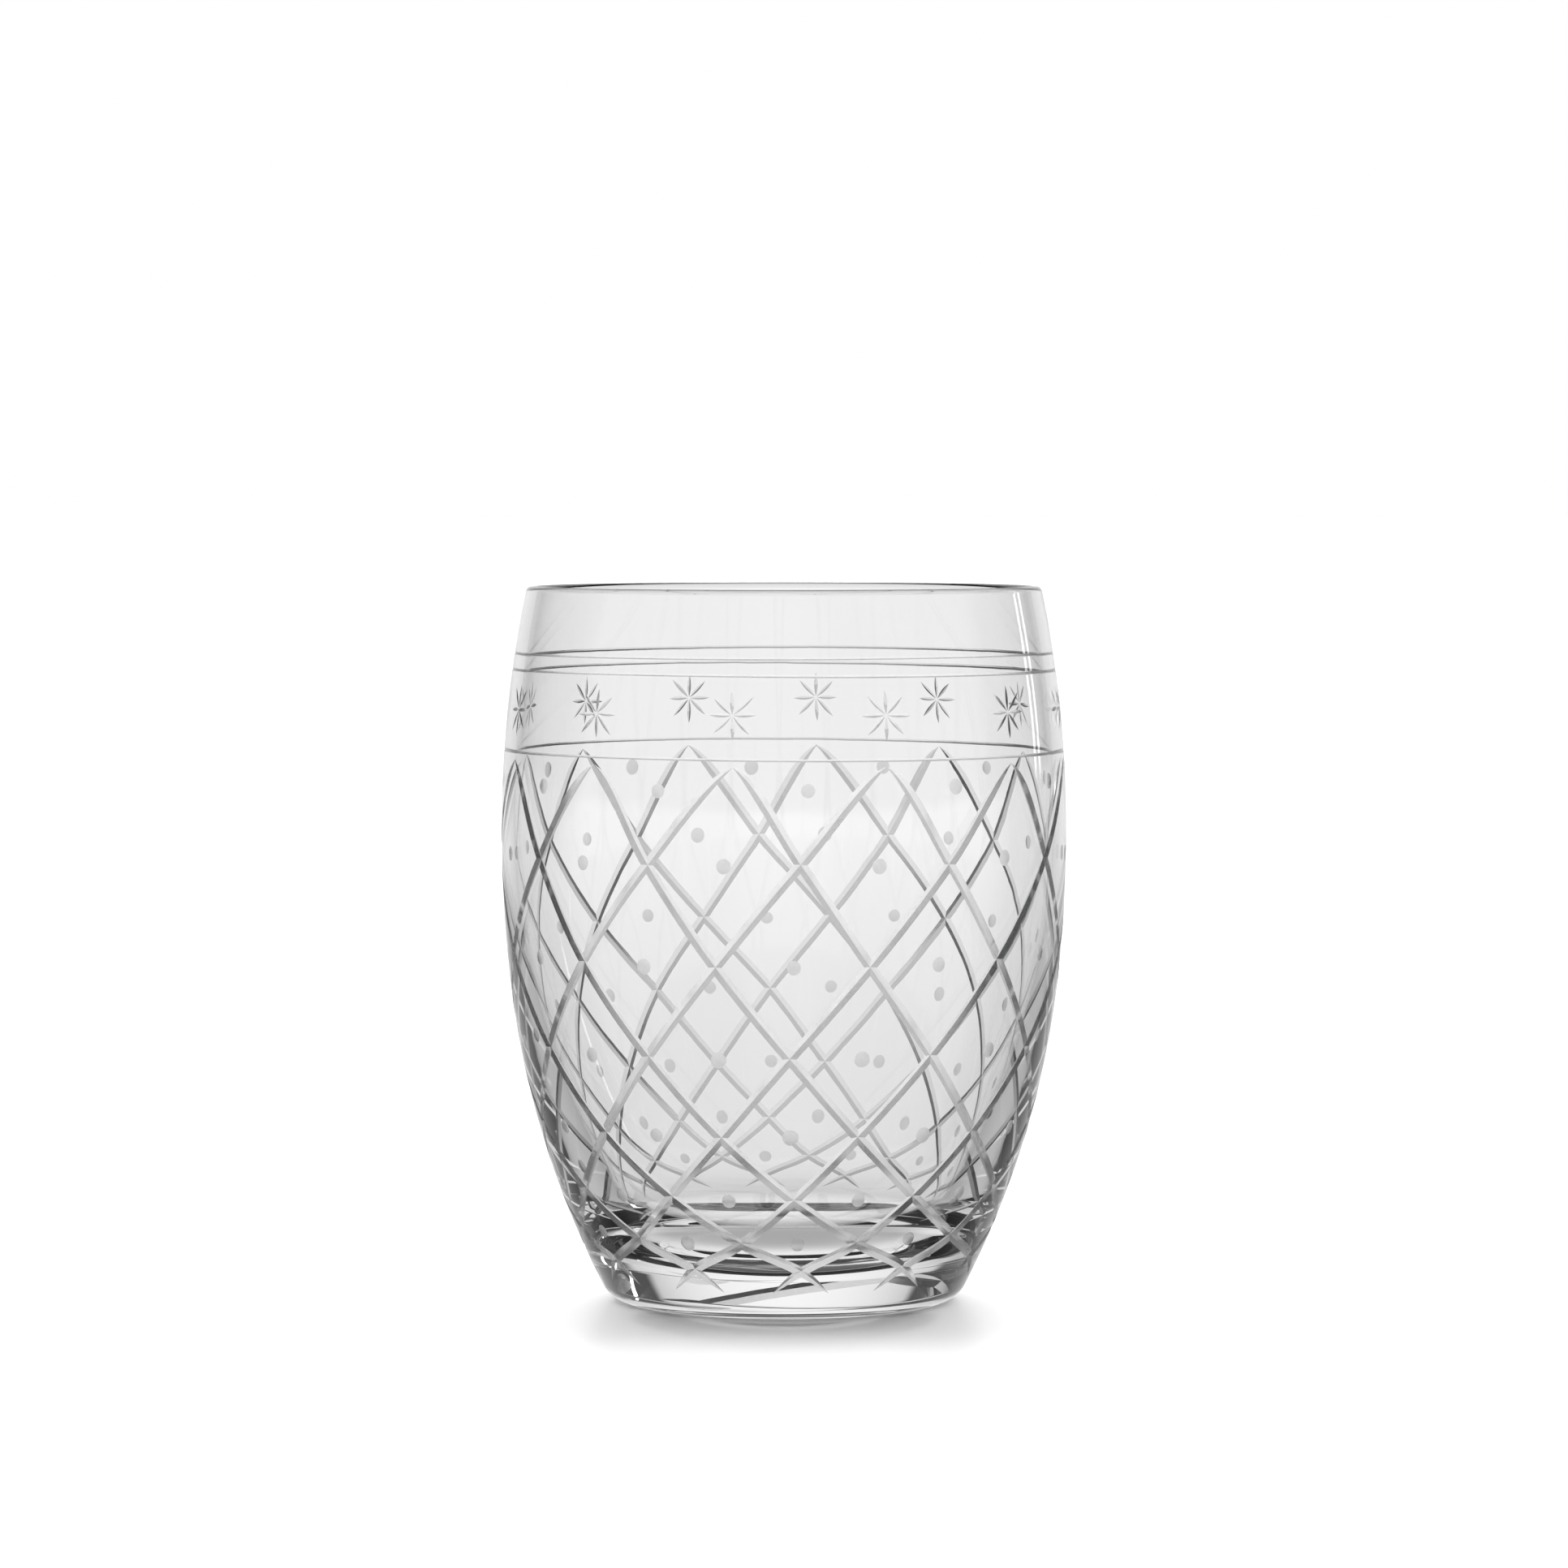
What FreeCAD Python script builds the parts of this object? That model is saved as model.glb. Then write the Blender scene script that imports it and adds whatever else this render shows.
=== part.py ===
"""Whiskey tumbler: one blown crystal glass, barrel shaped, with a heavy base and fine ring cuts.

The glass is a single piece. Its origin is the centre of the base plane, +Z runs up the axis, and sizes are
in millimetres. The wall section is a chain of tangent arcs, turned about Z. Three ring cuts run round the
upper wall, and the underside is ground to a shallow hollow, so that the glass rests on a flat ring.
"""

import FreeCAD, Part
import math
import os

V = FreeCAD.Vector

# Outside of the glass
HEIGHT = 100.0
BELLY_RADIUS = 39.5
BELLY_HEIGHT = 66.0
SHOULDER_ARC = 164.0
FLANK_ARC = 193.0
LOWER_ARC = 125.0
LOWER_ARC_HEIGHT = 46.5
FOOT_ROUND = 4.3

# Inside of the glass
WALL = 1.75
INNER_FLANK_ARC = 104.0
BOWL_ARC = 15.0
BOWL_ARC_HEIGHT = 17.4
FLOOR_HEIGHT = 8.0

# Hollow ground under the base
HOLLOW_RADIUS = 18.5
HOLLOW_DEPTH = 0.5

# Ring cuts: the height of each, and the size of their V section
RING_HEIGHTS = (90.7, 88.4, 77.2)
RING_WIDTH = 0.50
RING_DEPTH = 0.18


class Arc:
    """A circle in the section plane, with its centre at (r, z). Its outer points are named by height."""

    def __init__(self, r, z, radius):
        self.r, self.z, self.radius = r, z, radius

    def at(self, height):
        return self.r + math.sqrt(self.radius**2 - (height - self.z) ** 2), height

    def tangent_at(self, height, radius):
        """The arc of another radius that touches this one at that height."""
        r, z = self.at(height)
        share = radius / self.radius
        return Arc(r + (self.r - r) * share, z + (self.z - z) * share, radius)

    def edge(self, start_height, end_height):
        middle_height = (start_height + end_height) / 2
        ends = (self.at(start_height), self.at(middle_height), self.at(end_height))
        return Part.Arc(*(point(*end) for end in ends)).toShape()


def point(r, z):
    return V(r, 0, z)


def line(start, end):
    return Part.LineSegment(point(*start), point(*end)).toShape()


SHOULDER = Arc(BELLY_RADIUS - SHOULDER_ARC, BELLY_HEIGHT, SHOULDER_ARC)
FLANK = Arc(BELLY_RADIUS - FLANK_ARC, BELLY_HEIGHT, FLANK_ARC)
LOWER = FLANK.tangent_at(LOWER_ARC_HEIGHT, LOWER_ARC)


def inside(lip_height):
    """Edges of the inside, from the floor's centre up to the lip."""
    shoulder = Arc(SHOULDER.r, SHOULDER.z, SHOULDER_ARC - WALL)
    flank = Arc(BELLY_RADIUS - WALL - INNER_FLANK_ARC, BELLY_HEIGHT, INNER_FLANK_ARC)
    bowl = flank.tangent_at(BOWL_ARC_HEIGHT, BOWL_ARC)

    # The floor is a shallow dish, centred on the axis, that touches the bowl arc.
    drop = bowl.z - FLOOR_HEIGHT
    dish_arc = (bowl.r**2 + drop**2 - BOWL_ARC**2) / (2 * (drop - BOWL_ARC))
    dish_centre = FLOOR_HEIGHT + dish_arc
    lean = bowl.r / (dish_arc - BOWL_ARC)
    dish_points = []
    for share in (0, 0.5, 1):
        angle = share * math.asin(lean)
        dish_points.append(point(dish_arc * math.sin(angle), dish_centre - dish_arc * math.cos(angle)))
    return [
        Part.Arc(*dish_points).toShape(),
        bowl.edge(dish_points[-1].z, BOWL_ARC_HEIGHT),
        flank.edge(BOWL_ARC_HEIGHT, BELLY_HEIGHT),
        shoulder.edge(BELLY_HEIGHT, lip_height),
    ]


def outside(lip_height, foot_height):
    """Edges of the outside, from the lip down to the foot, with the V of each ring cut in them."""
    edges = []
    above = lip_height
    for height in RING_HEIGHTS:
        top = SHOULDER.at(height + RING_WIDTH / 2)
        bottom = (SHOULDER.at(height)[0] - RING_DEPTH, height)
        under = SHOULDER.at(height - RING_WIDTH / 2)
        edges += [SHOULDER.edge(above, top[1]), line(top, bottom), line(bottom, under)]
        above = under[1]
    edges.append(SHOULDER.edge(above, BELLY_HEIGHT))
    edges.append(FLANK.edge(BELLY_HEIGHT, LOWER_ARC_HEIGHT))
    edges.append(LOWER.edge(LOWER_ARC_HEIGHT, foot_height))
    return edges


def lip():
    """The full round of the lip, and the heights at which it meets the inside and the outside."""
    half = WALL / 2
    middle = Arc(SHOULDER.r, SHOULDER.z, SHOULDER_ARC - half)
    r, z = middle.at(HEIGHT - half)
    out_r, out_z = (r - middle.r) / middle.radius, (z - middle.z) / middle.radius
    inner = point(r - out_r * half, z - out_z * half)
    top = point(r - out_z * half, z + out_r * half)
    outer = point(r + out_r * half, z + out_z * half)
    return Part.Arc(inner, top, outer).toShape(), inner.z, outer.z


def underside():
    """Edges from the lower arc round the foot, along the resting ring and up the ground hollow."""
    gap = LOWER_ARC - FOOT_ROUND
    foot = Arc(LOWER.r + math.sqrt(gap**2 - (LOWER.z - FOOT_ROUND) ** 2), FOOT_ROUND, FOOT_ROUND)
    foot_height = FOOT_ROUND - FOOT_ROUND * (LOWER.z - FOOT_ROUND) / gap
    hollow_ball = (HOLLOW_RADIUS**2 + HOLLOW_DEPTH**2) / (2 * HOLLOW_DEPTH)
    half_way = HOLLOW_RADIUS / 2
    hollow_points = [
        point(HOLLOW_RADIUS, 0),
        point(half_way, HOLLOW_DEPTH - hollow_ball + math.sqrt(hollow_ball**2 - half_way**2)),
        point(0, HOLLOW_DEPTH),
    ]
    edges = [
        foot.edge(foot_height, 0),
        line((foot.r, 0), (HOLLOW_RADIUS, 0)),
        Part.Arc(*hollow_points).toShape(),
    ]
    return edges, foot_height


def glass_body():
    """The whole glass, turned about Z from its wall section."""
    lip_edge, inner_height, outer_height = lip()
    under_edges, foot_height = underside()
    axis_edge = line((0, HOLLOW_DEPTH), (0, FLOOR_HEIGHT))
    edges = inside(inner_height) + [lip_edge] + outside(outer_height, foot_height) + under_edges + [axis_edge]
    section = Part.Face(Part.Wire(Part.__sortEdges__(edges)))
    return section.revolve(V(0, 0, 0), V(0, 0, 1), 360)


def main():
    os.makedirs("parts", exist_ok=True)
    body = glass_body()
    body.exportStep("parts/glass_body.step")
    print("glass_body", body.ShapeType, "valid:", body.isValid(), "cm3:", round(body.Volume / 1000, 1))
    print(body.BoundBox)


main()
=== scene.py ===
"""A whiskey tumbler of cut crystal: one blown, barrel-shaped glass, with polished walls and ground cuts.

The glass is turned from its wall section. The cutter's work is then taken out of it: the rings and the star
rays, the dots in the diamonds, and last the two crossing sets of mitre cuts.
"""

import math
import random

import bmesh
import bpy
from mathutils import Matrix, Vector, kdtree


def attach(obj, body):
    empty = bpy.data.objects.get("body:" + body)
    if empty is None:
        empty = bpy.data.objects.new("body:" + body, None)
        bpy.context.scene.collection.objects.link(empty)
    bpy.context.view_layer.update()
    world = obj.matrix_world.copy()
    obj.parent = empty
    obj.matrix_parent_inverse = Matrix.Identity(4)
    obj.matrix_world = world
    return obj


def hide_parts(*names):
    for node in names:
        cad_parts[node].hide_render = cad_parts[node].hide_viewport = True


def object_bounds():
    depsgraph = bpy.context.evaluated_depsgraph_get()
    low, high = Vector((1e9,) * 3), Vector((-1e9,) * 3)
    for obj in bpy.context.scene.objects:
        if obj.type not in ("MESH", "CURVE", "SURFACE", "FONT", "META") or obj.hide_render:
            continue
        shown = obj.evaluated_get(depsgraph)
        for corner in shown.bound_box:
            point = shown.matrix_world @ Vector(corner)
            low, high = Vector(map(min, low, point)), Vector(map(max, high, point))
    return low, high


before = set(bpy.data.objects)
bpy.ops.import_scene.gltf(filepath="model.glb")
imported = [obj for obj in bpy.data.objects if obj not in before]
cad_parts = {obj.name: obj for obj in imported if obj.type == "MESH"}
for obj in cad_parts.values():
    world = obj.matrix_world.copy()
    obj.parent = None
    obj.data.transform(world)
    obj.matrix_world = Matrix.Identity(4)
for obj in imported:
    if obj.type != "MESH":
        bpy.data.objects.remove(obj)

CAD_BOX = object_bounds()
MM = 0.001

# The glass, in metres. Height and belly come from the frame, and the rest of the section follows them.
HEIGHT = CAD_BOX[1].z
BELLY_RADIUS = CAD_BOX[1].x
BELLY_HEIGHT = 66.0 * MM
SHOULDER_ARC = 164.0 * MM
FLANK_ARC = 193.0 * MM
LOWER_ARC = 125.0 * MM
LOWER_ARC_HEIGHT = 46.5 * MM
FOOT_ROUND = 4.3 * MM
WALL = 1.75 * MM
INNER_FLANK_ARC = 104.0 * MM
BOWL_ARC = 15.0 * MM
BOWL_ARC_HEIGHT = 17.4 * MM
BOWL_FLOOR_HEIGHT = 8.0 * MM
HOLLOW_RADIUS = 18.5 * MM
HOLLOW_DEPTH = 0.5 * MM
TURNING_STEPS = 240
MERGE_DISTANCE = 0.002 * MM

# Where the cutter works: heights in metres, and angles in degrees round the glass from the front. The
# drifts are how far each row is turned. The slips are how far the marks stray at the sides and the back
DIAMONDS_ROUND = 12
PITCH = 360.0 / DIAMONDS_ROUND
FIRST_ANGLE = -10.0
RING_HEIGHTS = (90.7 * MM, 88.4 * MM, 77.2 * MM)
STAR_HEIGHT = 83.2 * MM
ROW_HEIGHTS = [h * MM for h in (76.3, 63.1, 49.5, 37.1, 26.0, 17.4, 11.1, 7.2, 1.8)]
ROW_DRIFTS = (0.0, -1.9, -3.3, -3.9, -3.9, -2.9, -1.1, -0.3, -0.3)
INDEX_SLIP = 2.0
BACK_SLIP = 2.5
MITRE_END = 7.53
STATIONS_PER_ROW = 12
TOP_DOT_HEIGHT = 73.3 * MM
DOT_ROWS = 7

# Sizes of the cuts. A V cutter stands proud of the glass by the share PROUD, so that it cuts cleanly
RING_HALF_WIDTH = 0.20 * MM
RING_DEPTH = 0.12 * MM
MITRE_HALF_WIDTH = 0.74 * MM
MITRE_DEPTH = 0.30 * MM
RAY_HALF_WIDTH = 0.28 * MM
RAY_DEPTH = 0.15 * MM
DOT_RADIUS = 1.18 * MM
DOT_DEPTH = 0.12 * MM
PROUD = 0.5
TIP_WIDTH = 0.04
TOP_TAPER = 0.45
FOOT_TAPER = 0.7
RAY_LENGTH = 3.7 * MM
RAY_START = 0.15 * MM
RAY_STATIONS = 8
RING_WANDER = 0.12 * MM
CRISP_ANGLE = math.radians(20.0)

CRYSTAL_IOR = 1.52
NOISE_DETAIL = 3.0
NOISE_RANGE = (0.3, 0.7)

# The studio that the glass sees. Edges, sides and turns are degrees round from straight behind the glass,
# and tops are degrees above the horizon. A rise is the sine of the angle above the horizon, and a depth is
# the cosine of the turn. Where two numbers are given, something fades or grows between them. Lights are
# brightnesses, and TABLE_NEAR, TABLE_FAR and TABLE_BELOW are shares of them
HORIZON_RISE = (0.015, -0.015)
PANEL_EDGE = (34.0, 40.0)
PANEL_TOP = (32.0, 42.0)
PANEL_LIGHT = 1.0
STRIP_TURN = 51.0
STRIP_HALF_WIDTH = 1.0
STRIP_RISE = (0.5, 0.4)
STRIP_LIGHT = 3.5
ROOM_LIGHT = 0.07
TABLE_RISE = (-0.3, -0.02)
TABLE_NEAR = 0.84
TABLE_FAR = 0.97
BELOW_RISE = (-1.0, -0.4)
TABLE_BELOW = 0.45
TABLE_SIDES = (38.0, 70.0)
SIDE_LIGHT = 0.5
CARD_LIGHT = 0.25
NEAR_DEPTH = (0.35, 0.1)
NEAR_LIGHT = 0.8
STEEP_RISE = (-0.6, -0.9)
STEEP_LIGHT = 0.9

# The floor, and the light on it, which comes mostly from behind
REARWARD_DEPTH = (-0.1, 0.2)
FLOOR_FRONT = 0.35
FLOOR_BACK = 5.0
FLOOR_PANEL = 11.0
FLOOR_COLOUR = (0.9, 0.9, 0.9, 1.0)
FLOOR_ROUGHNESS = 0.3
FLOOR_DROP = 0.05 * MM
FLOOR_SIZE = 30.0

# The camera, in metres and degrees, with a lens in millimetres on a 36 mm sensor
CAMERA_DISTANCE = 0.8507
CAMERA_HEIGHT = 0.1127
CAMERA_TILT = 2.72
CAMERA_LENS = 139.75
SENSOR_WIDTH = 36.0


class Arc:
    """A circle in the section plane, with its centre at (r, z), and its points named by height or angle."""

    def __init__(self, r, z, radius):
        self.r, self.z, self.radius = r, z, radius

    def at(self, height):
        return self.r + math.sqrt(max(0.0, self.radius**2 - (height - self.z) ** 2))

    def lean(self, height):
        """The angle of the outward normal above the horizontal, at that height."""
        return math.asin(max(-1.0, min(1.0, (height - self.z) / self.radius)))

    def turned(self, angle):
        return self.r + self.radius * math.cos(angle), self.z + self.radius * math.sin(angle)

    def tangent_at(self, height, radius):
        share = radius / self.radius
        r, z = self.at(height), height
        return Arc(r + (self.r - r) * share, z + (self.z - z) * share, radius)


SHOULDER = Arc(BELLY_RADIUS - SHOULDER_ARC, BELLY_HEIGHT, SHOULDER_ARC)
FLANK = Arc(BELLY_RADIUS - FLANK_ARC, BELLY_HEIGHT, FLANK_ARC)
LOWER = FLANK.tangent_at(LOWER_ARC_HEIGHT, LOWER_ARC)


def outer_arc(height):
    """The arc of the outside that holds that height, above the rounded foot."""
    if height > BELLY_HEIGHT:
        return SHOULDER
    return FLANK if height > LOWER_ARC_HEIGHT else LOWER


def wall_section():
    """The section as a chain of (arc, first angle, last angle, facing, steps), from the floor's centre,
    up the inside, over the lip, down the outside, and round the foot to the underside's centre.
    Facing is 1 where the glass lies inside the arc, and -1 where the glass lies outside it."""
    inner_shoulder = Arc(SHOULDER.r, SHOULDER.z, SHOULDER_ARC - WALL)
    inner_flank = Arc(BELLY_RADIUS - WALL - INNER_FLANK_ARC, BELLY_HEIGHT, INNER_FLANK_ARC)
    bowl = inner_flank.tangent_at(BOWL_ARC_HEIGHT, BOWL_ARC)
    drop = bowl.z - BOWL_FLOOR_HEIGHT
    dish_arc = (bowl.r**2 + drop**2 - BOWL_ARC**2) / (2 * (drop - BOWL_ARC))
    dish = Arc(0.0, BOWL_FLOOR_HEIGHT + dish_arc, dish_arc)
    dish_edge = math.asin(bowl.r / (dish_arc - BOWL_ARC)) - math.pi / 2

    half = WALL / 2
    middle = Arc(SHOULDER.r, SHOULDER.z, SHOULDER_ARC - half)
    lip_lean = middle.lean(HEIGHT - half)
    lip = Arc(*middle.turned(lip_lean), half)

    gap = LOWER_ARC - FOOT_ROUND
    foot = Arc(LOWER.r + math.sqrt(gap**2 - (LOWER.z - FOOT_ROUND) ** 2), FOOT_ROUND, FOOT_ROUND)
    foot_lean = math.asin((FOOT_ROUND - LOWER.z) / gap)
    hollow_ball = (HOLLOW_RADIUS**2 + HOLLOW_DEPTH**2) / (2 * HOLLOW_DEPTH)
    hollow = Arc(0.0, HOLLOW_DEPTH - hollow_ball, hollow_ball)
    hollow_edge = math.acos(HOLLOW_RADIUS / hollow_ball)
    return [
        (dish, -math.pi / 2, dish_edge, -1, 8),
        (bowl, dish_edge, bowl.lean(BOWL_ARC_HEIGHT), -1, 12),
        (inner_flank, inner_flank.lean(BOWL_ARC_HEIGHT), 0.0, -1, 18),
        (inner_shoulder, 0.0, lip_lean, -1, 12),
        (lip, lip_lean + math.pi, lip_lean, 1, 12),
        (SHOULDER, lip_lean, 0.0, 1, 14),
        (FLANK, 0.0, FLANK.lean(LOWER_ARC_HEIGHT), 1, 8),
        (LOWER, LOWER.lean(LOWER_ARC_HEIGHT), foot_lean, 1, 18),
        (foot, foot_lean, -math.pi / 2, 1, 10),
        (hollow, hollow_edge, math.pi / 2, -1, 8),
    ]


def section_points(section, fineness=1):
    """Points along the section, each with the outward normal of the glass there, all as (r, z)."""
    points = []
    for arc, first, last, facing, steps in section:
        for step in range(steps * fineness + 1):
            angle = first + (last - first) * step / (steps * fineness)
            r, z = arc.turned(angle)
            normal = Vector((math.cos(angle), math.sin(angle))) * facing
            points.append((Vector((max(r, 0.0), z)), normal))
    return points


def turned_glass(section):
    """The uncut glass, spun about Z from the section's outline."""
    bm = bmesh.new()
    outline = [bm.verts.new((p.x, 0.0, p.y)) for p, _ in section_points(section)]
    for a, b in zip(outline, outline[1:]):
        bm.edges.new((a, b))
    bmesh.ops.remove_doubles(bm, verts=bm.verts[:], dist=MERGE_DISTANCE)
    bmesh.ops.spin(
        bm, geom=bm.verts[:] + bm.edges[:], cent=(0, 0, 0), axis=(0, 0, 1),
        angle=math.tau, steps=TURNING_STEPS, use_merge=True,
    )
    bmesh.ops.remove_doubles(bm, verts=bm.verts[:], dist=MERGE_DISTANCE)
    bmesh.ops.recalc_face_normals(bm, faces=bm.faces[:])
    return bm


def surface_frame(angle, height, heading=0.0):
    """A frame on the outside: X along the heading (0 is round the glass, 90 up it), Z out of the glass."""
    arc = outer_arc(height)
    lean, turn, radius = arc.lean(height), math.radians(angle), arc.at(height)
    across = Vector((math.cos(turn), math.sin(turn), 0.0))
    out = Vector((math.sin(turn) * math.cos(lean), -math.cos(turn) * math.cos(lean), math.sin(lean)))
    up = out.cross(across)
    place = Matrix((across, up, out)).transposed().to_4x4()
    place.translation = (radius * math.sin(turn), -radius * math.cos(turn), height)
    return place @ Matrix.Rotation(math.radians(heading), 4, "Z")


def indexed(angle):
    """The angle that a mark is really cut at, on a glass held a little off the dividing head's axis."""
    turn = math.radians(angle)
    return angle + INDEX_SLIP * math.sin(turn) + BACK_SLIP * (1 - math.cos(turn)) / 2


def through(values, t):
    """A smooth curve through the values at t = 0, 1, 2 and so on."""
    i = min(int(t), len(values) - 2)
    before, a, b, after = (values[max(0, min(len(values) - 1, i + k))] for k in (-1, 0, 1, 2))
    u = t - i
    second = 2 * before - 5 * a + 4 * b - after
    third = 3 * (a - b) + after - before
    return a + u / 2 * (b - before + u * (second + u * third))


def mark_bevels(bm):
    """Tells the two bevels of a V cutter apart: the lower bevel of the cut, which faces up, is kind 1. Kind
    1 takes the darker material, whose grey is painted shade.
    """
    bmesh.ops.recalc_face_normals(bm, faces=bm.faces[:])
    for face in bm.faces:
        height = face.calc_center_median().z
        face.material_index = int(-face.normal.z > math.sin(outer_arc(height).lean(height)))


def v_corners(half_width, depth):
    """The three corners of a V cutter's section, in a surface frame."""
    top = depth * PROUD
    side = half_width * (1 + PROUD)
    return [Vector((0.0, side, top)), Vector((0.0, -side, top)), Vector((0.0, 0.0, -depth))]


def v_cut(places, widths, half_width, depth):
    """A wheel's V cut as a closed cutter: the V is extruded from place to place, scaled by each width."""
    bm = bmesh.new()
    corners = v_corners(half_width, depth)
    sections = [place @ Matrix.Scale(width, 4) for place, width in zip(places, widths)]
    face = bm.faces.new([bm.verts.new(sections[0] @ corner) for corner in corners])
    for last, this in zip(sections, sections[1:]):
        made = bmesh.ops.extrude_face_region(bm, geom=[face, *face.edges])["geom"]
        face = next(part for part in made if isinstance(part, bmesh.types.BMFace))
        bmesh.ops.transform(bm, matrix=this @ last.inverted(), verts=face.verts)
    mark_bevels(bm)
    return bm


def mitre_cut(first_angle, hand, rng):
    """One long mitre cut, from its tapered top to its tapered foot. Hand is 1 or -1, the way it turns."""
    wander = [rng.uniform(-0.3, 0.3) for _ in ROW_HEIGHTS]
    spots = []
    steps = round(MITRE_END * STATIONS_PER_ROW)
    for step in range(steps + 1):
        t = MITRE_END * step / steps
        angle = indexed(first_angle + hand * PITCH / 2 * t + through(ROW_DRIFTS, t)) + through(wander, t)
        spots.append((t, angle, through(ROW_HEIGHTS, t)))
    places, widths = [], []
    for n, (t, angle, height) in enumerate(spots):
        _, angle_a, height_a = spots[max(0, n - 1)]
        _, angle_b, height_b = spots[min(steps, n + 1)]
        arc = outer_arc(height)
        run = math.radians(angle_b - angle_a) * arc.at(height)
        rise = (height_b - height_a) / math.cos(arc.lean(height))
        places.append(surface_frame(angle, height, math.degrees(math.atan2(rise, run))))
        to_tip = min(1.0, t / TOP_TAPER, (MITRE_END - t) / FOOT_TAPER)
        widths.append(max(TIP_WIDTH, 1 - (1 - to_tip) ** 2))
    return v_cut(places, widths, MITRE_HALF_WIDTH, MITRE_DEPTH)


def star_rays(angle, rng):
    """The eight short cuts of one star, each a spindle that starts just off the star's centre."""
    rays = []
    for n in range(8):
        heading = 45.0 * n + rng.uniform(-4, 4)
        length = RAY_LENGTH * (rng.uniform(0.92, 1.08) if n % 2 else rng.uniform(0.85, 1.02))
        centre = surface_frame(angle, STAR_HEIGHT, heading)
        places, widths = [], []
        for step in range(RAY_STATIONS + 1):
            share = step / RAY_STATIONS
            reach = RAY_START + (length - RAY_START) * share
            spot = centre @ Vector((reach, 0.0, 0.0))
            turn = math.degrees(math.atan2(spot.x, -spot.y))
            places.append(surface_frame(turn, spot.z, heading))
            widths.append(max(TIP_WIDTH, 1 - (2 * share - 1) ** 2))
        rays.append(v_cut(places, widths, RAY_HALF_WIDTH, RAY_DEPTH))
    return rays


def ring_cut(height, rng):
    """A fine V ring, spun round the glass, that wanders a little as a hand-held cut does."""
    bm = bmesh.new()
    place = surface_frame(0.0, height)
    verts = [bm.verts.new(place @ corner) for corner in v_corners(RING_HALF_WIDTH, RING_DEPTH)]
    edges = [bm.edges.new((verts[n], verts[n - 1])) for n in range(3)]
    bmesh.ops.spin(
        bm, geom=verts + edges, cent=(0, 0, 0), axis=(0, 0, 1),
        angle=math.tau, steps=TURNING_STEPS, use_merge=True,
    )
    phase = rng.uniform(0, math.tau)
    for vert in bm.verts:
        turn = math.atan2(vert.co.y, vert.co.x)
        vert.co.z += RING_WANDER * (math.sin(turn + phase) + 0.4 * math.sin(3 * turn - phase))
    mark_bevels(bm)
    return bm


def dot_cut(angle, height, radius):
    """The round-nosed wheel that grinds a dot: a ball whose cap leaves a round hollow of that radius."""
    bm = bmesh.new()
    ball = (radius**2 + DOT_DEPTH**2) / (2 * DOT_DEPTH)
    place = surface_frame(angle, height) @ Matrix.Translation((0.0, 0.0, ball - DOT_DEPTH))
    bmesh.ops.create_uvsphere(bm, u_segments=28, v_segments=26, radius=ball, matrix=place)
    return bm


def dot_cuts(rng):
    """A dot in the middle of each diamond, and of each half diamond under the third ring."""
    cuts = []
    for row in range(DOT_ROWS):
        height = TOP_DOT_HEIGHT if row == 0 else ROW_HEIGHTS[row]
        shift = PITCH / 2 * ((row + 1) % 2)
        for n in range(DIAMONDS_ROUND):
            angle = indexed(FIRST_ANGLE + shift + PITCH * n + ROW_DRIFTS[row]) + rng.uniform(-0.7, 0.7)
            radius = DOT_RADIUS * rng.uniform(0.88, 1.08)
            cuts.append(dot_cut(angle, height + rng.uniform(-0.4, 0.4) * MM, radius))
    return cuts


def as_object(name, bmeshes, *materials):
    """One object from several bmeshes, which are freed. Each face's kind picks its material."""
    joined = bmesh.new()
    mesh = bpy.data.meshes.new(name)
    for bm in bmeshes:
        bm.to_mesh(mesh)
        joined.from_mesh(mesh)
        bm.free()
    joined.to_mesh(mesh)
    joined.free()
    for material in materials:
        mesh.materials.append(material)
    piece = bpy.data.objects.new(name, mesh)
    bpy.context.scene.collection.objects.link(piece)
    return piece


def take_away(piece, cutter):
    """Cuts the cutter's shape out of the piece. The cut faces take the cutter's material."""
    cut = piece.modifiers.new("cut", "BOOLEAN")
    cut.operation = "DIFFERENCE"
    cut.solver = "MANIFOLD"
    cut.material_mode = "TRANSFER"
    cut.object = cutter
    evaluated = piece.evaluated_get(bpy.context.evaluated_depsgraph_get())
    mesh = bpy.data.meshes.new_from_object(evaluated)
    piece.modifiers.clear()
    old, piece.data = piece.data, mesh
    bpy.data.meshes.remove(old)
    used = cutter.data
    bpy.data.objects.remove(cutter)
    bpy.data.meshes.remove(used)


def polish(piece, section):
    """Shades the piece: cut faces keep crisp edges, and polished faces take the true curve's normals."""
    mesh = piece.data
    bm = bmesh.new()
    bm.from_mesh(mesh)
    for face in bm.faces:
        face.smooth = True
    for edge in bm.edges:
        kinds = {face.material_index for face in edge.link_faces}
        edge.smooth = len(kinds) == 1 and edge.calc_face_angle(0.0) < CRISP_ANGLE
    bm.to_mesh(mesh)
    bm.free()

    curve = section_points(section, 12)
    tree = kdtree.KDTree(len(curve))
    for n, (point, _) in enumerate(curve):
        tree.insert((point.x, point.y, 0.0), n)
    tree.balance()
    normals = [corner.vector.copy() for corner in mesh.corner_normals]
    for face in mesh.polygons:
        if face.material_index == 0:
            for loop in face.loop_indices:
                spot = mesh.vertices[mesh.loops[loop].vertex_index].co
                radius = math.hypot(spot.x, spot.y)
                normal = curve[tree.find((radius, spot.z, 0.0))[1]][1]
                way = (spot.x / radius, spot.y / radius) if radius > 0.001 * MM else (0.0, 0.0)
                normals[loop] = Vector((way[0] * normal.x, way[1] * normal.x, normal.y)).normalized()
    mesh.normals_split_custom_set(normals)


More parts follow.
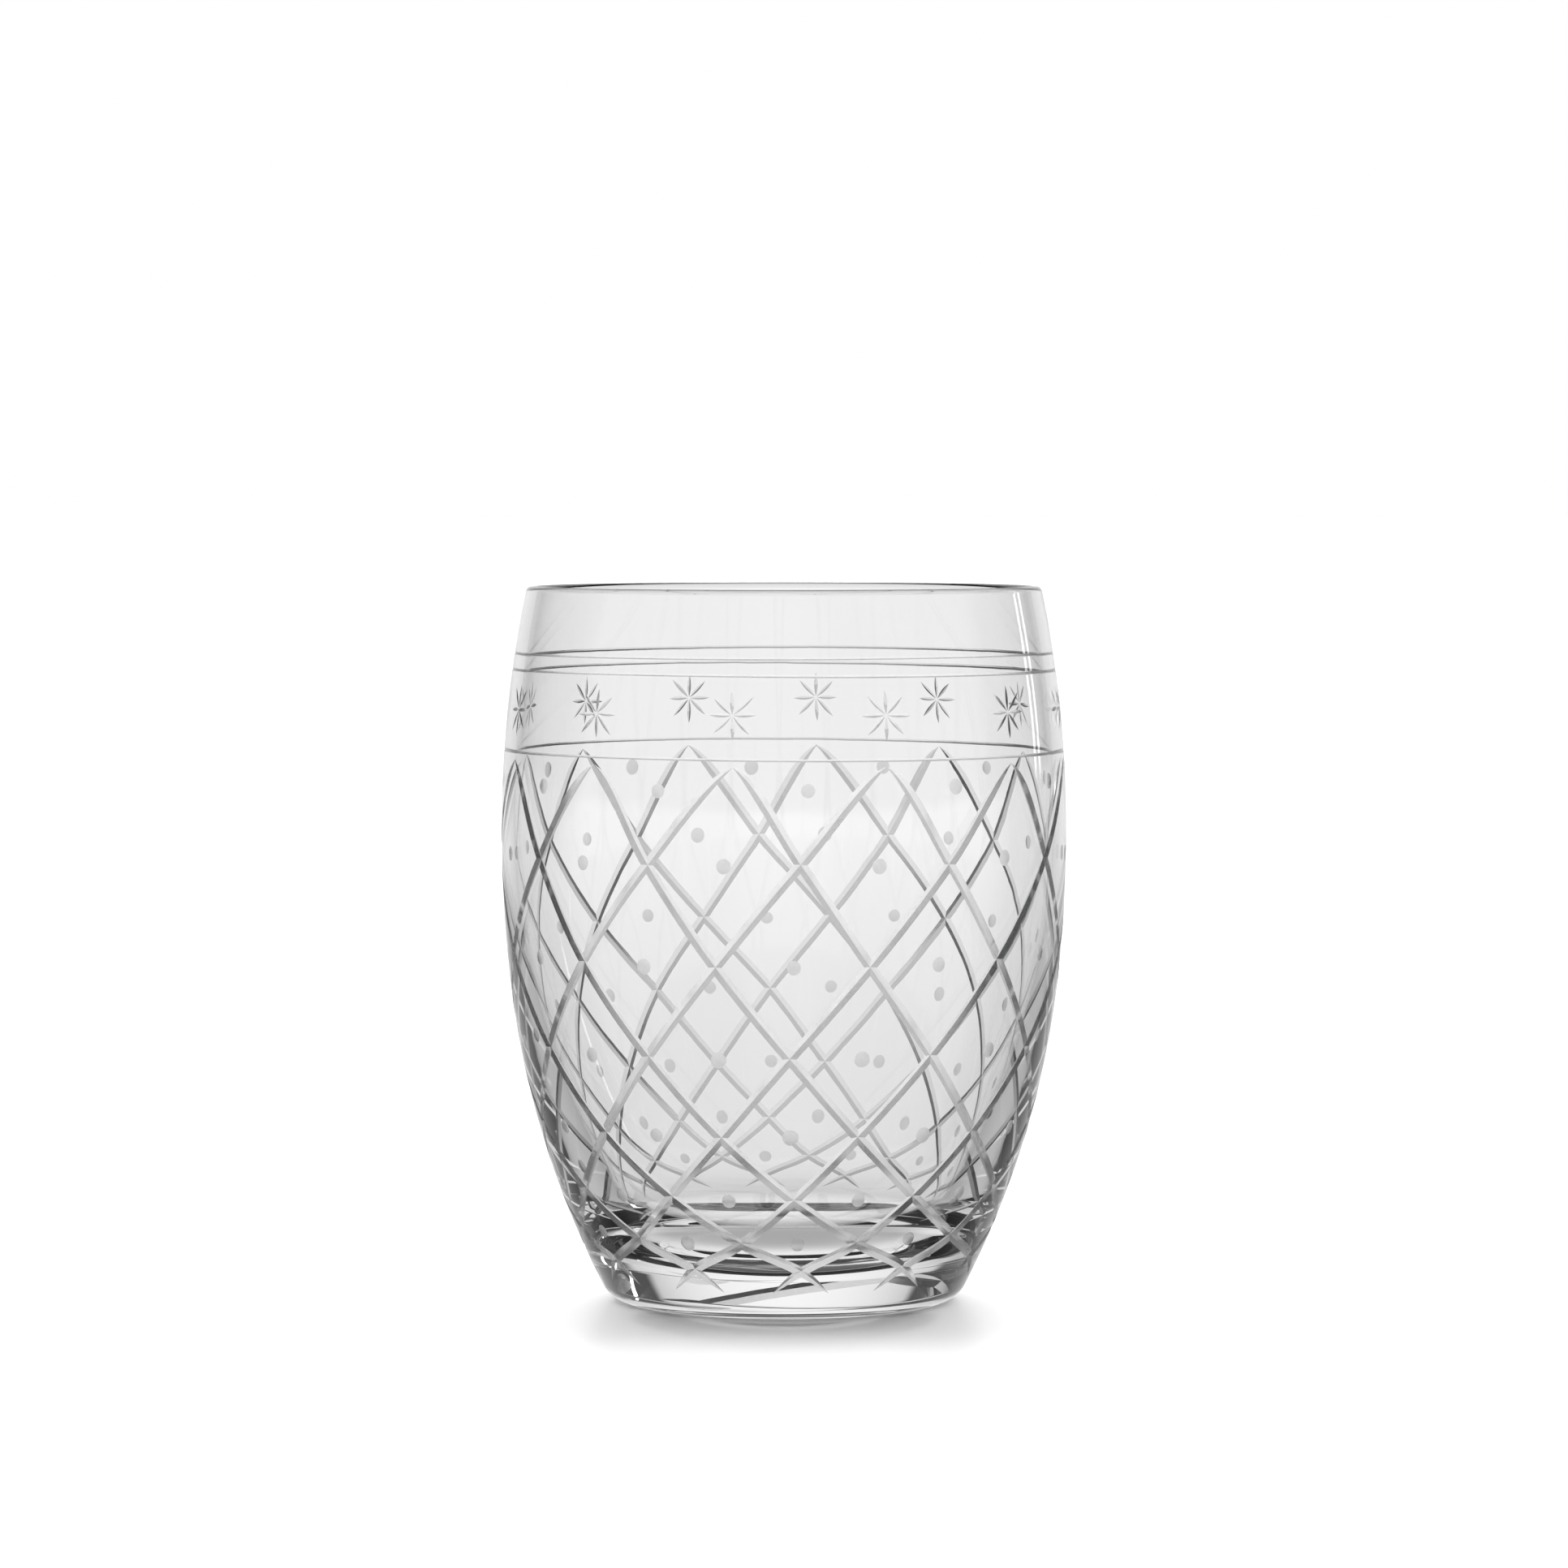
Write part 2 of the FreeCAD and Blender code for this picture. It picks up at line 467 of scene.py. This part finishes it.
class Sums:
    """Shorthand for the small sums in a node tree: each call adds a node and returns its output."""

    def __init__(self, tree):
        self.nodes, self.links = tree.nodes, tree.links

    def feed(self, socket, value):
        if isinstance(value, bpy.types.NodeSocket):
            self.links.new(value, socket)
        else:
            socket.default_value = value

    def math(self, operation, *values):
        node = self.nodes.new("ShaderNodeMath")
        node.operation = operation
        for socket, value in zip(node.inputs, values):
            self.feed(socket, value)
        return node.outputs["Value"]

    def vector(self, operation, *values):
        node = self.nodes.new("ShaderNodeVectorMath")
        node.operation = operation
        for socket, value in zip(node.inputs, values):
            self.feed(socket, value)
        return node.outputs["Value" if operation == "DOT_PRODUCT" else "Vector"]

    def noise(self, place, scale, detail):
        node = self.nodes.new("ShaderNodeTexNoise")
        self.feed(node.inputs["Vector"], place)
        node.inputs["Scale"].default_value = scale
        node.inputs["Detail"].default_value = detail
        return node.outputs["Fac"]

    def ramp(self, value, start, end, low=0.0, high=1.0):
        node = self.nodes.new("ShaderNodeMapRange")
        node.interpolation_type = "SMOOTHSTEP"
        names = ("Value", "From Min", "From Max", "To Min", "To Max")
        for name, number in zip(names, (value, start, end, low, high)):
            self.feed(node.inputs[name], number)
        return node.outputs["Result"]

    def mix(self, factor, a, b):
        node = self.nodes.new("ShaderNodeMix")
        for name, value in (("Factor", factor), ("A", a), ("B", b)):
            self.feed(node.inputs[name], value)
        return node.outputs["Result"]


def crystal(name, clear, base, roughness, bump, scale):
    """Crystal that lets that share of its light through. Its surface is uneven at that scale: the base
    colour and roughness each vary between two values, and the bump is the unevenness in metres."""
    material = bpy.data.materials.new(name)
    material.use_nodes = True
    nodes, links = material.node_tree.nodes, material.node_tree.links
    shader = nodes["Principled BSDF"]
    shader.inputs["Transmission Weight"].default_value = clear
    shader.inputs["IOR"].default_value = CRYSTAL_IOR
    sums = Sums(material.node_tree)
    place = nodes.new("ShaderNodeTexCoord").outputs["Object"]
    uneven = sums.noise(place, scale, NOISE_DETAIL)
    links.new(sums.ramp(uneven, *NOISE_RANGE, *base), shader.inputs["Base Color"])
    links.new(sums.ramp(uneven, *NOISE_RANGE, *roughness), shader.inputs["Roughness"])
    relief = nodes.new("ShaderNodeBump")
    relief.inputs["Strength"].default_value = 1.0
    relief.inputs["Distance"].default_value = bump
    links.new(uneven, relief.inputs["Height"])
    links.new(relief.outputs["Normal"], shader.inputs["Normal"])
    return material


def make_glass():
    rng = random.Random(12)
    section = wall_section()
    polished = crystal("polished_crystal", 1.0, (0.99, 1.0), (0.0, 0.006), 0.02 * MM, 60.0)
    upper = crystal("upper_bevel", 0.86, (0.95, 1.0), (0.18, 0.24), 0.001 * MM, 4000.0)
    # The lower bevel's grey base colour is painted shade: the bevel that faces up is made darker than the
    # near-white upper bevel, as if it saw dimmer light.
    lower = crystal("lower_bevel_painted_shade", 0.86, (0.58, 0.66), (0.2, 0.27), 0.001 * MM, 4000.0)
    matt = crystal("matt_crystal", 0.84, (0.78, 0.84), (0.3, 0.4), 0.002 * MM, 2500.0)
    glass = as_object("tumbler_glass", [turned_glass(section)], polished)
    angles = [FIRST_ANGLE + PITCH * n for n in range(DIAMONDS_ROUND)]
    fine_cuts = [ring_cut(height, rng) for height in RING_HEIGHTS]
    dots = dot_cuts(rng)
    for angle in angles:
        fine_cuts += star_rays(indexed(angle), rng)
    take_away(glass, as_object("fine_cuts", fine_cuts, upper, lower))
    take_away(glass, as_object("dots", dots, matt))
    for hand in (1, -1):
        cuts = [mitre_cut(angle, hand, rng) for angle in angles]
        take_away(glass, as_object("mitre_cuts", cuts, upper, lower))
    polish(glass, section)
    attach(glass, "root")
    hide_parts("glass_body")
    return glass


def make_floor():
    """A pale floor just under the glass. The glass shows the white table of make_light in its place."""
    bm = bmesh.new()
    place = Matrix.Translation((0.0, 0.0, -FLOOR_DROP))
    bmesh.ops.create_grid(bm, x_segments=1, y_segments=1, size=FLOOR_SIZE, matrix=place)
    material = bpy.data.materials.new("studio_floor")
    material.use_nodes = True
    shader = material.node_tree.nodes["Principled BSDF"]
    shader.inputs["Base Color"].default_value = FLOOR_COLOUR
    shader.inputs["Roughness"].default_value = FLOOR_ROUGHNESS
    floor = as_object("floor", [bm], material)
    floor.visible_transmission = False
    floor.visible_glossy = False


def make_camera():
    camera = bpy.data.objects.new("camera", bpy.data.cameras.new("camera"))
    bpy.context.scene.collection.objects.link(camera)
    camera.data.sensor_width = SENSOR_WIDTH
    camera.data.lens = CAMERA_LENS
    camera.location = (0.0, -CAMERA_DISTANCE, CAMERA_HEIGHT)
    camera.rotation_euler = (math.radians(90 - CAMERA_TILT), 0.0, 0.0)
    camera.data.clip_start = 0.01
    camera.data.clip_end = 50.0
    bpy.context.scene.camera = camera


def panel_behind(sums, behind, height):
    """1 on the broad panel behind the glass, and 0 off it."""
    across = [math.cos(math.radians(edge)) for edge in PANEL_EDGE]
    upward = [math.sin(math.radians(edge)) for edge in PANEL_TOP]
    at_back = sums.ramp(behind, across[1], across[0])
    return sums.math("MULTIPLY", at_back, sums.ramp(height, upward[1], upward[0]))


def strip_at_the_right(sums, level, height):
    """1 on the thin upright strip light, and 0 off it."""
    turn = math.radians(STRIP_TURN)
    sideways = sums.vector("DOT_PRODUCT", level, (math.cos(turn), -math.sin(turn), 0.0))
    towards = sums.vector("DOT_PRODUCT", level, (math.sin(turn), math.cos(turn), 0.0))
    half_width = math.sin(math.radians(STRIP_HALF_WIDTH))
    narrow = sums.math("LESS_THAN", sums.math("ABSOLUTE", sideways), half_width)
    strip = sums.math("MAXIMUM", sums.math("MULTIPLY", narrow, towards), 0.0)
    return sums.math("MULTIPLY", strip, sums.ramp(height, *STRIP_RISE))


def white_table(sums, behind, fall, height):
    """The table's brightness: it falls off to the sides and below, and has a dark card on each side."""
    steep = sums.ramp(height, *STEEP_RISE)
    near_side = sums.ramp(behind, *NEAR_DEPTH, SIDE_LIGHT, NEAR_LIGHT)
    table = sums.mix(steep, sums.math("MAXIMUM", fall, near_side), STEEP_LIGHT)
    table = sums.math("MULTIPLY", table, sums.ramp(height, *TABLE_RISE, TABLE_NEAR, TABLE_FAR))
    table = sums.math("MULTIPLY", table, sums.ramp(height, *BELOW_RISE, TABLE_BELOW / TABLE_NEAR, 1.0))
    aside = [math.cos(math.radians(edge)) for edge in TABLE_SIDES]
    open_side = sums.math("MAXIMUM", sums.ramp(behind, aside[1], aside[0]), sums.ramp(behind, *NEAR_DEPTH))
    return sums.mix(sums.math("MAXIMUM", open_side, steep), CARD_LIGHT, table)


def make_light():
    """A dim studio round a white table, with a broad panel behind the glass and a thin strip light to the
    right of it. The backdrop shows plain white, and matt surfaces get a stronger light from behind."""
    world = bpy.data.worlds.new("studio")
    bpy.context.scene.world = world
    world.use_nodes = True
    sums = Sums(world.node_tree)
    direction = sums.nodes.new("ShaderNodeTexCoord").outputs["Generated"]
    height = sums.vector("DOT_PRODUCT", direction, (0.0, 0.0, 1.0))
    rearward = sums.vector("DOT_PRODUCT", direction, (0.0, 1.0, 0.0))
    level = sums.vector("NORMALIZE", sums.vector("MULTIPLY", direction, (1.0, 1.0, 0.0)))
    behind = sums.vector("DOT_PRODUCT", level, (0.0, 1.0, 0.0))
    fall = sums.math("MULTIPLY", behind, behind)

    panel = panel_behind(sums, behind, height)
    room = sums.mix(strip_at_the_right(sums, level, height), ROOM_LIGHT, STRIP_LIGHT)
    room = sums.mix(panel, room, sums.math("MULTIPLY", fall, PANEL_LIGHT))
    table = white_table(sums, behind, fall, height)
    seen_by_glass = sums.mix(sums.ramp(height, *HORIZON_RISE), room, table)

    from_behind = sums.ramp(rearward, *REARWARD_DEPTH, FLOOR_FRONT, FLOOR_BACK)
    from_behind = sums.mix(panel, from_behind, FLOOR_PANEL)
    path = sums.nodes.new("ShaderNodeLightPath").outputs
    lit = sums.mix(path["Is Diffuse Ray"], seen_by_glass, from_behind)
    background = sums.nodes["Background"]
    background.inputs["Color"].default_value = (1.0, 1.0, 1.0, 1.0)
    sums.links.new(sums.mix(path["Is Camera Ray"], lit, 1.0), background.inputs["Strength"])


make_glass()
make_floor()
make_camera()
make_light()
bpy.context.scene.view_settings.view_transform = "Standard"
